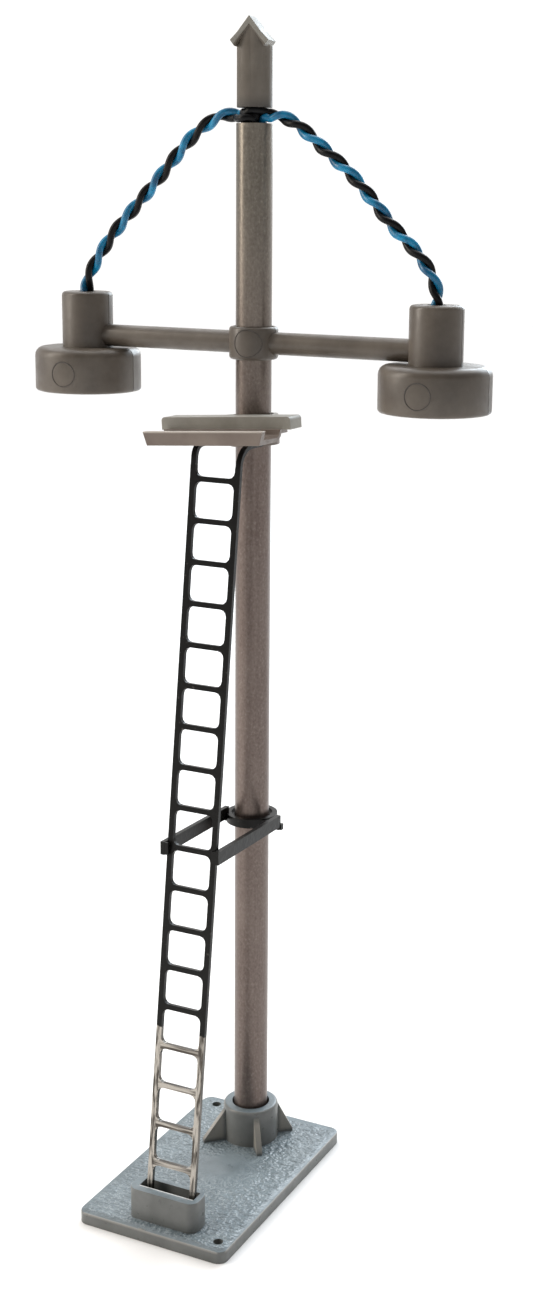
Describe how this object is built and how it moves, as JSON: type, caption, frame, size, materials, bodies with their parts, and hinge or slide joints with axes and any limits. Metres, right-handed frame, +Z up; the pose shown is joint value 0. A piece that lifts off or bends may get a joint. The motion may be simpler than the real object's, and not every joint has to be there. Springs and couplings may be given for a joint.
{
  "type": "model railway yard lamp mast",
  "caption": "Model railway yard light mast with a twin-lamp cross arm, gabled cap, arched wires, platform, leaning ladder and ribbed base plate.",
  "frame": {"origin": "centre of the model's footprint, on the underside of the base plate", "axes": "+Z up the mast, X along the lamp arm, the ladder on the -Y side"},
  "size_m": [0.0558, 0.0298, 0.1321],
  "materials": {
    "grey_moulding": "moulded, fine hammered texture on top",
    "brushed_tube": "satin drawn tube",
    "cap_grey": "satin moulded",
    "lamp_grey": "satin moulded",
    "platform_grey": "satin moulded",
    "ladder_black": "gloss black over etched nickel silver, foot left bare",
    "bracket_black": "satin black",
    "led_clear": "clear moulded epoxy",
    "wire_blue": "extruded insulation",
    "wire_black": "extruded insulation"
  },
  "bodies": {
    "root": {"base_moulding": "grey_moulding", "mast_tube": "brushed_tube", "finial_cap": "cap_grey", "lamp_arm_front": "lamp_grey", "lamp_arm_rear": "lamp_grey", "platform_tray": "platform_grey", "platform_deck": "platform_grey", "ladder": "ladder_black", "ladder_bracket": "bracket_black", "led_left": "led_clear", "led_right": "led_clear", "wire_left_blue": "wire_blue", "wire_left_black": "wire_black", "wire_right_blue": "wire_blue", "wire_right_black": "wire_black"}
  },
  "joints": []
}
